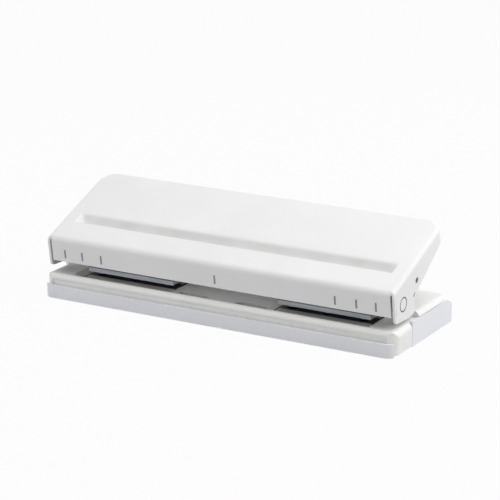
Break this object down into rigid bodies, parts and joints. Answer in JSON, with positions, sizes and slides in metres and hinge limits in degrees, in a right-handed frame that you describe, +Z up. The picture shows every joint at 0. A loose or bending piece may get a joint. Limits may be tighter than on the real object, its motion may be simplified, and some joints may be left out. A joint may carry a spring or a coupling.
{
  "type": "six-hole punch",
  "caption": "White desk punch for ring planner pages, with a broad steel press lever over a low base, two steel punching heads and a clip-on chip tray.",
  "frame": {"origin": "centre of the footprint on the desk", "axes": "+X along the length, -Y towards the paper mouth, +Z up"},
  "size_m": [0.194, 0.068, 0.0516],
  "materials": {
    "white_paint": "satin",
    "white_plastic": "satin",
    "clear_plastic": "gloss",
    "steel": "satin",
    "dark_plastic": "matte"
  },
  "bodies": {
    "base": {"base_body": "white_plastic", "pivot_axle": "steel", "left_axle_cap": "white_paint", "right_axle_cap": "white_paint", "left_spacer": "dark_plastic", "right_spacer": "dark_plastic", "left_frame": "steel", "right_frame": "steel", "left_die_plate": "steel", "right_die_plate": "steel", "frame_screws": "steel", "return_spring_1": "steel", "return_spring_2": "steel", "return_spring_3": "steel", "return_spring_4": "steel", "return_spring_5": "steel", "return_spring_6": "steel"},
    "lever": {"handle": "white_paint", "press_rod": "steel", "rod_clips": "steel"},
    "left_punches": {"left_press_bar": "steel", "punch_1": "steel", "punch_2": "steel", "punch_3": "steel"},
    "right_punches": {"right_press_bar": "steel", "punch_4": "steel", "punch_5": "steel", "punch_6": "steel"},
    "tray": {"chip_tray": "clear_plastic"}
  },
  "joints": [
    {"name": "lever_press", "type": "hinge", "parent": "base", "child": "lever", "pos_m": [0, -0.0211, 0.0229], "axis": [-1, 0, 0], "range_deg": [0, 13], "stiffness_Nm_per_rad": 0.4, "springref_deg": -14.32},
    {"name": "left_press", "type": "slide", "parent": "base", "child": "left_punches", "axis": [0, 0, -1], "range_m": [0, 0.0034], "deforming": ["return_spring_1", "return_spring_2", "return_spring_3"]},
    {"name": "right_press", "type": "slide", "parent": "base", "child": "right_punches", "axis": [0, 0, -1], "range_m": [0, 0.0034], "deforming": ["return_spring_4", "return_spring_5", "return_spring_6"]},
    {"name": "tray_off", "type": "slide", "parent": "base", "child": "tray", "axis": [0, 0, -1], "range_m": [0, 0.02]}
  ],
  "couplings": [
    {"joint": "left_press", "follows": "lever_press", "m_per_rad": 0.015},
    {"joint": "right_press", "follows": "lever_press", "m_per_rad": 0.015}
  ]
}
